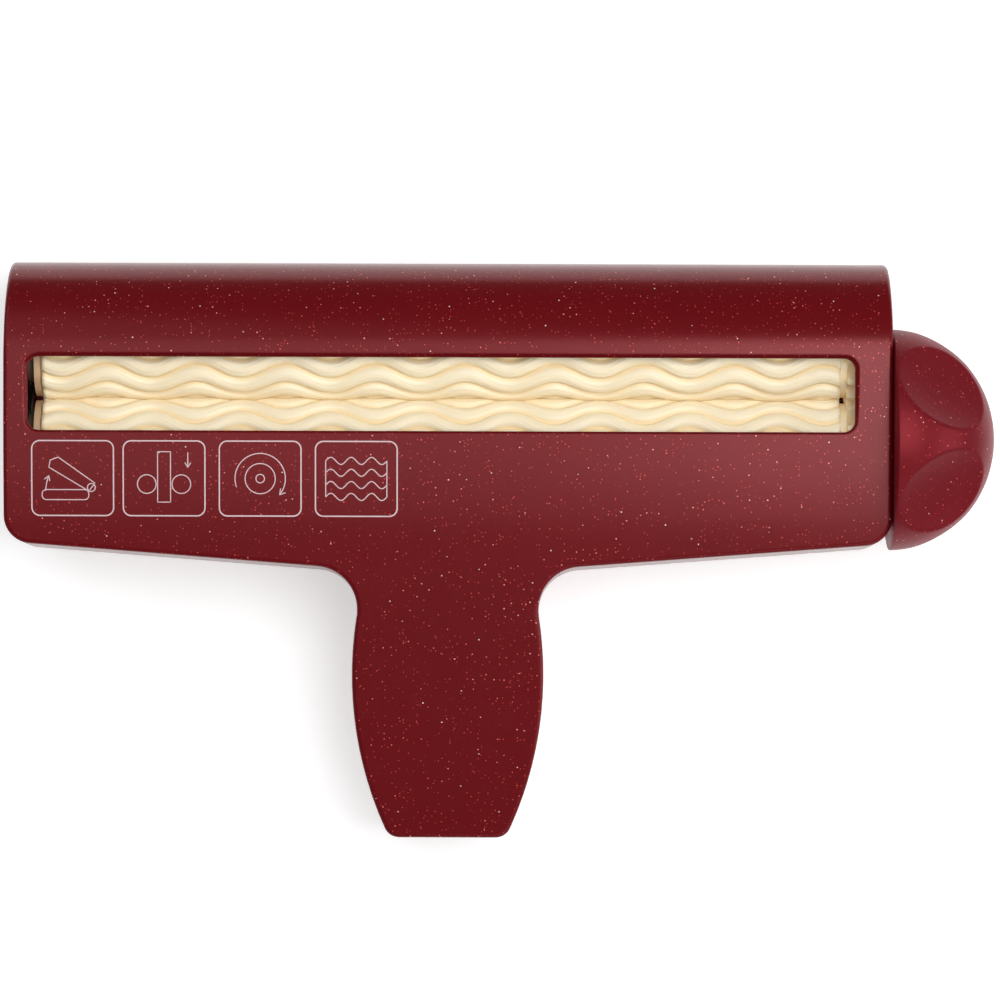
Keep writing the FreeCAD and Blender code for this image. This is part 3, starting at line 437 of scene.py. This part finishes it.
def recess_shade_crosses(name, node, axis, body):
    """Dark crosses of painted shade in the outer faces of a node's screw heads, which face along
    an axis: they stand for the shade inside the cross recesses.
    """
    far, near = CROSS_REACH, CROSS_HALF_WIDTH
    corners = [(far, near), (near, near), (near, far), (-near, far), (-near, near), (-far, near),
               (-far, -near), (-near, -near), (-near, -far), (near, -far), (near, -near),
               (far, -near)]
    count = len(corners)
    verts, faces = [], []
    for group in separate_solids(nodes[node]):
        low = Vector([min(point[k] for point in group) for k in range(3)])
        high = Vector([max(point[k] for point in group) for k in range(3)])
        middle = (low + high) / 2
        outward = -1 if axis == 2 or middle[axis] < 0 else 1
        face_at = low[axis] if outward < 0 else high[axis]
        base = len(verts)
        for lift in (CROSS_PROUD, -CROSS_SUNK):
            for u, v in corners:
                point = middle.copy()
                point[axis] = face_at + outward * lift
                point[(axis + 1) % 3] += u
                point[(axis + 2) % 3] += v
                verts.append(point)
        faces.append([base + i for i in range(count)])
        faces.append([base + count + i for i in reversed(range(count))])
        faces += [(base + i, base + count + i,
                   base + count + (i + 1) % count, base + (i + 1) % count) for i in range(count)]
    obj = new_object(name, verts, faces, smooth=False)
    fix_normals(obj)
    # Painted shade: the crosses take the dark plastic's colour for the shade inside the recesses
    obj.data.materials.append(DARK_PLASTIC_AND_SHADE)
    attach(obj, body)


recess_shade_crosses("bracket_screw_recess_shade", "bracket_screws", 0, "lower")
recess_shade_crosses("cradle_screw_recess_shade", "cradle_screws", 2, "top")


# ---------------------------------------------------------------- knob

KNOB_RINGS, KNOB_AROUND = 120, 320
DIMPLE_SOFTNESS = 0.0003


def ellipsoid_entry(direction, centre, axes, halves):
    """Distance along a ray from the origin to where it enters an ellipsoid, or None."""
    a = b = c = 0.0
    for axis, half in zip(axes, halves):
        p = direction.dot(axis) / half
        q = centre.dot(axis) / half
        a += p * p
        b += p * q
        c += q * q
    root = b * b - a * (c - 1)
    if root <= 0:
        return None
    return (b - math.sqrt(root)) / a


def dimple_forms():
    """The ellipsoids that press the dimples into the knob: (centre, axes, half lengths)."""
    distance = (KNOB_RADIUS + KNOB_DEPTH) / 2 - DIMPLE_DEPTH + DIMPLE_HALVES[0]
    forms = []
    for number in range(DIMPLES):
        turn = math.radians(360 / DIMPLES * (number + 0.5))
        outward = Vector((math.sin(DIMPLE_TILT), math.cos(DIMPLE_TILT) * math.sin(turn),
                          math.cos(DIMPLE_TILT) * math.cos(turn)))
        sideways = Vector((0, math.cos(turn), -math.sin(turn)))
        meridian = sideways.cross(outward)
        forms.append((outward * distance, (outward, sideways, meridian), DIMPLE_HALVES))
    return forms


def soft_min(first, second, softness):
    """The smaller of two values, with the change from one to the other rounded."""
    blend = max(softness - abs(first - second), 0) / softness
    return min(first, second) - blend * blend * softness / 4


def dressed_knob():
    """Half an ellipsoid with its flat side to the head and soft-edged dimples round it."""
    forms = dimple_forms()
    middle = Vector((KNOB_BASE, -AXIS_OFFSET, AXIS_HEIGHT))
    verts = []
    for i in range(KNOB_RINGS + 1):
        lean = math.pi / 2 * i / KNOB_RINGS
        for j in range(KNOB_AROUND):
            turn = 2 * math.pi * j / KNOB_AROUND
            direction = Vector((math.sin(lean), math.cos(lean) * math.sin(turn),
                                math.cos(lean) * math.cos(turn)))
            reach = 1 / math.sqrt((direction.x / KNOB_DEPTH) ** 2
                                  + (direction.y ** 2 + direction.z ** 2) / KNOB_RADIUS ** 2)
            for form in forms:
                entry = ellipsoid_entry(direction, *form)
                if entry is not None and entry > 0:
                    reach = soft_min(reach, entry, DIMPLE_SOFTNESS)
            verts.append(middle + direction * reach)
    obj = new_object("dressed_knob", verts, grid_faces(KNOB_RINGS + 1, KNOB_AROUND))
    shape = bmesh.new()
    shape.from_mesh(obj.data)
    bmesh.ops.remove_doubles(shape, verts=shape.verts, dist=SAME_PLACE)
    rim = [edge for edge in shape.edges if edge.is_boundary]
    bmesh.ops.contextual_create(shape, geom=rim)
    bmesh.ops.recalc_face_normals(shape, faces=shape.faces)
    shape.to_mesh(obj.data)
    shape.free()
    obj.data.materials.append(LIT_KNOB_RED)
    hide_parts("knob")
    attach(obj, "drive")


dressed_knob()


# ---------------------------------------------------------------- printed pictures on the front

PANEL_LEFTS = (-0.1156, -0.0902, -0.0635, -0.0368)
PANEL_LOW = -0.0329
PANEL_SIZE = (0.0227, 0.0208)
PANEL_CORNER = 0.0022
PANEL_LINE, ICON_LINE = 0.00037, 0.00027
INK_LIFT = 0.00004
LONGEST_STRETCH = 0.0012  # of a printed line between two points on the crowned face


def ribbon(points, width, closed):
    """Flat strokes that follow the front face, as (verts, faces)."""
    verts = []
    count = len(points)
    for i, (x, y) in enumerate(points):
        before = points[i - 1] if i > 0 or closed else points[i]
        after = points[(i + 1) % count] if i < count - 1 or closed else points[i]
        along = Vector((after[0] - before[0], after[1] - before[1], 0)).normalized()
        side = Vector((-along.y, along.x, 0)) * width / 2
        for sign in (-1, 1):
            px, py = x + side.x * sign, y + side.y * sign
            verts.append((px, py, front_height_at(py) + INK_LIFT))
    faces = [(2 * i, 2 * i + 2, 2 * i + 3, 2 * i + 1) for i in range(count - 1)]
    if closed:
        faces.append((2 * count - 2, 0, 1, 2 * count - 1))
    return verts, faces


def arc(cx, cy, radius, start, end, steps=24):
    """Points on an arc between two angles in degrees."""
    points = []
    for i in range(steps + 1):
        angle = math.radians(start + (end - start) * i / steps)
        points.append((cx + radius * math.cos(angle), cy + radius * math.sin(angle)))
    return points


def rounded_box(left, low, right, high, radius):
    points = []
    for cx, cy, start in ((right - radius, high - radius, 0), (left + radius, high - radius, 90),
                          (left + radius, low + radius, 180), (right - radius, low + radius, 270)):
        points += arc(cx, cy, radius, start, start + 90, 6)
    return points


def divided(points, closed):
    """The same line with its long sides divided, so that it can follow the crowned face."""
    result = []
    count = len(points)
    for i in range(count if closed else count - 1):
        start, end = points[i], points[(i + 1) % count]
        steps = max(1, math.ceil(math.dist(start, end) / LONGEST_STRETCH))
        result += [(start[0] + (end[0] - start[0]) * k / steps,
                    start[1] + (end[1] - start[1]) * k / steps) for k in range(steps)]
    return result if closed else result + [points[-1]]


def printed(name, strokes):
    """One piece of ink from strokes given as (points, width, closed)."""
    verts, faces = [], []
    for points, width, closed in strokes:
        more_verts, more_faces = ribbon(divided(points, closed), width, closed)
        base = len(verts)
        verts += more_verts
        faces += [tuple(base + index for index in face) for face in more_faces]
    obj = new_object(name, verts, faces, smooth=False)
    obj.data.materials.append(INK)
    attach(obj, "top")


def arrow_head(tip, angle, size):
    """Two short strokes that meet at a tip; the angle in degrees is the way the arrow points."""
    ends = []
    for lean in (150, -150):
        turn = math.radians(angle + lean)
        ends.append((tip[0] + size * math.cos(turn), tip[1] + size * math.sin(turn)))
    return [ends[0], tip, ends[1]]


def moved(points, x, y):
    return [(px + x, py + y) for px, py in points]


# Each icon is a list of (points, closed), in metres from the middle of its panel


def open_icon():
    """A crimper seen from its end, with the upper handle swung open and an arrow beside it."""
    lower = rounded_box(-0.0085, -0.0060, 0.0045, -0.0032, 0.0012)
    upper = [(0.0045, -0.0036), (0.0062, -0.0014), (-0.0040, 0.0058), (-0.0062, 0.0050),
             (-0.0066, 0.0030)]
    hinge = arc(0.0052, -0.0026, 0.0011, 0, 350)
    swing = arc(0.0050, -0.0040, 0.0125, 158, 178, 10)
    return [(lower, True), (upper, True), (hinge, True),
            (swing, False), (arrow_head(swing[0], 68, 0.0016), False)]


def insert_icon():
    """A sheet that goes down between two rollers."""
    sheet = [(-0.0018, 0.0074), (-0.0018, -0.0066), (0.0018, -0.0066), (0.0018, 0.0074)]
    rollers = [(arc(x, -0.0016, 0.0026, 0, 350), True) for x in (-0.0048, 0.0048)]
    down = [(0.0066, 0.0072), (0.0066, 0.0030)]
    return [(sheet, True), *rollers,
            (down, False), (arrow_head(down[-1], -90, 0.0016), False)]


def turn_icon():
    """A round knob with an arrow round it."""
    around = arc(0, 0, 0.0070, 200, -40, 40)
    return [(arc(0, 0, 0.0042, 0, 352, 30), True), (arc(0, 0, 0.0012, 0, 340, 14), True),
            (around, False), (arrow_head(around[-1], -130, 0.0018), False)]


def wave_icon():
    """A crimped sheet."""
    edge = 0.0085
    wave = [(-edge + 2 * edge * i / 40, 0.0010 * math.sin(6 * math.pi * i / 40))
            for i in range(41)]
    lines = [(moved(wave, 0, y), False) for y in (0.0050, 0.0017, -0.0017, -0.0050)]
    return lines + [([(x, 0.0050), (x, -0.0050)], False) for x in (-edge, edge)]


def panel_strokes():
    width, height = PANEL_SIZE
    strokes = []
    for left, icon in zip(PANEL_LEFTS, (open_icon, insert_icon, turn_icon, wave_icon)):
        frame_line = rounded_box(left, PANEL_LOW, left + width, PANEL_LOW + height, PANEL_CORNER)
        strokes.append((frame_line, PANEL_LINE, True))
        for points, closed in icon():
            placed = moved(points, left + width / 2, PANEL_LOW + height / 2)
            strokes.append((placed, ICON_LINE, closed))
    return strokes


printed("printed_panels", panel_strokes())


# ---------------------------------------------------------------- floor, light and camera

FLOOR_Z = -0.0003
FLOOR_GLOW = 0.5  # a lit table, so that the floor stays pale under the crimper's edges
TABLE_X, TABLE_Y = 0.22, (-0.25, 0.18)
FLOOR_REACH = 3.0
WALL_RADIUS, WALL_HEIGHT, WALL_SIDES = 2.95, 5.0, 72
HORIZON_LIGHT, OVERHEAD_LIGHT = 0.11, 0.24
# Name: place, point that it faces, size, power
LIGHTS = {
    "key": ((0.52, 0.22, 1.35), (0.52, 0.22, 0), (0.8, 0.94), 9.5),
    "overhead": ((-0.05, 0.22, 1.4), (-0.05, 0.22, 0), (1.2, 0.94), 4.8),
    "side": ((1.4, -0.1, 0.62), (0.1, 0, 0), (1.0, 0.8), 7),
    "fill": ((0.5, -1.1, 0.9), (0, 0, 0), (1.1, 0.6), 3.2),
    "back": ((-0.75, 0.9, 0.95), (-0.1, 0, 0), (1.2, 1.2), 3),
}
SENSOR_WIDTH = 36
CAMERA_HEIGHT = 1.3  # above the front face
PHOTO_WIDTH = 0.2775  # what the photograph's frame spans at the front face
CAMERA_X, CAMERA_Y = 0.01449, -0.02823
CAMERA_ROLL = math.radians(0.18)


def floor_material():
    shader = Shader("pale_floor")
    base = shader.mix(shader.noise(3, 2), (0.78, 0.78, 0.78), (0.82, 0.82, 0.82))
    shader.set(color=base, roughness=0.9, specular=0.1, glow_color=(1, 1, 1, 1), glow=FLOOR_GLOW)
    return shader.material


def stage():
    """A floor in two pieces: the far one isn't mirrored in the plastic, as if the table ended."""
    front, back = TABLE_Y
    inner = [(-TABLE_X, front), (TABLE_X, front), (TABLE_X, back), (-TABLE_X, back)]
    outer = [(x * FLOOR_REACH, y * FLOOR_REACH) for x, y in ((-1, -1), (1, -1), (1, 1), (-1, 1))]
    ring = [(i, (i + 1) % 4, 4 + (i + 1) % 4, 4 + i) for i in range(4)]
    material = floor_material()
    for name, corners, faces in (("floor", inner, [(0, 1, 2, 3)]),
                                 ("far_floor", outer + inner, ring)):
        mesh = bpy.data.meshes.new(name)
        mesh.from_pydata([(x, y, FLOOR_Z) for x, y in corners], [], faces)
        mesh.materials.append(material)
        floor = bpy.data.objects.new(name, mesh)
        bpy.context.scene.collection.objects.link(floor)
        floor.visible_glossy = name == "floor"


def backdrop():
    """A pale wall all round, seen by the camera alone, for the low views."""
    turns = [2 * math.pi * i / WALL_SIDES for i in range(WALL_SIDES)]
    verts = [(WALL_RADIUS * math.cos(turn), WALL_RADIUS * math.sin(turn), z)
             for z in (FLOOR_Z, WALL_HEIGHT) for turn in turns]
    wall = new_object("backdrop", verts, grid_faces(2, WALL_SIDES))
    shader = Shader("pale_wall")
    tone = shader.mix(shader.noise(0.6, 1), (0.63, 0.63, 0.63), (0.65, 0.65, 0.65))
    shader.set(color=(0, 0, 0, 1), roughness=1.0, specular=0.0, glow_color=tone, glow=1.0)
    wall.data.materials.append(shader.material)
    wall.visible_diffuse = wall.visible_glossy = False
    wall.visible_transmission = wall.visible_shadow = False


def area_light(name, place, target, size, power):
    light = bpy.data.lights.new(name, "AREA")
    light.shape = "RECTANGLE"
    light.size, light.size_y = size
    light.energy = power
    obj = bpy.data.objects.new(name, light)
    bpy.context.scene.collection.objects.link(obj)
    obj.location = place
    direction = Vector(target) - Vector(place)
    obj.rotation_euler = direction.to_track_quat("-Z", "Y").to_euler()


def world(low, high):
    """A soft dome: low at the horizon and high overhead."""
    background = bpy.data.worlds.new("studio")
    background.use_nodes = True
    tree = background.node_tree
    where = tree.nodes.new("ShaderNodeTexCoord")
    split = tree.nodes.new("ShaderNodeSeparateXYZ")
    spread = tree.nodes.new("ShaderNodeMapRange")
    for key, value in (("From Min", 0.0), ("From Max", 1.0), ("To Min", low), ("To Max", high)):
        spread.inputs[key].default_value = value
    tree.links.new(where.outputs["Generated"], split.inputs["Vector"])
    tree.links.new(split.outputs["Z"], spread.inputs["Value"])
    tree.links.new(spread.outputs["Result"], tree.nodes["Background"].inputs["Strength"])
    tree.nodes["Background"].inputs["Color"].default_value = (1, 1, 1, 1)
    bpy.context.scene.world = background


def camera():
    """A camera straight above the front face, as in the photograph."""
    data = bpy.data.cameras.new("camera")
    data.sensor_width = SENSOR_WIDTH
    data.lens = SENSOR_WIDTH * CAMERA_HEIGHT / PHOTO_WIDTH
    data.clip_start = 0.01
    data.clip_end = 20
    obj = bpy.data.objects.new("camera", data)
    bpy.context.scene.collection.objects.link(obj)
    obj.location = (ROW_SHIFT.x + CAMERA_X, ROW_SHIFT.y + CAMERA_Y, FRONT_HEIGHT + CAMERA_HEIGHT)
    obj.rotation_euler = (0, 0, CAMERA_ROLL)
    bpy.context.scene.camera = obj


stage()
backdrop()
world(HORIZON_LIGHT, OVERHEAD_LIGHT)
for light_name, settings in LIGHTS.items():
    area_light(light_name, *settings)
camera()
bpy.context.scene.view_settings.view_transform = "Standard"
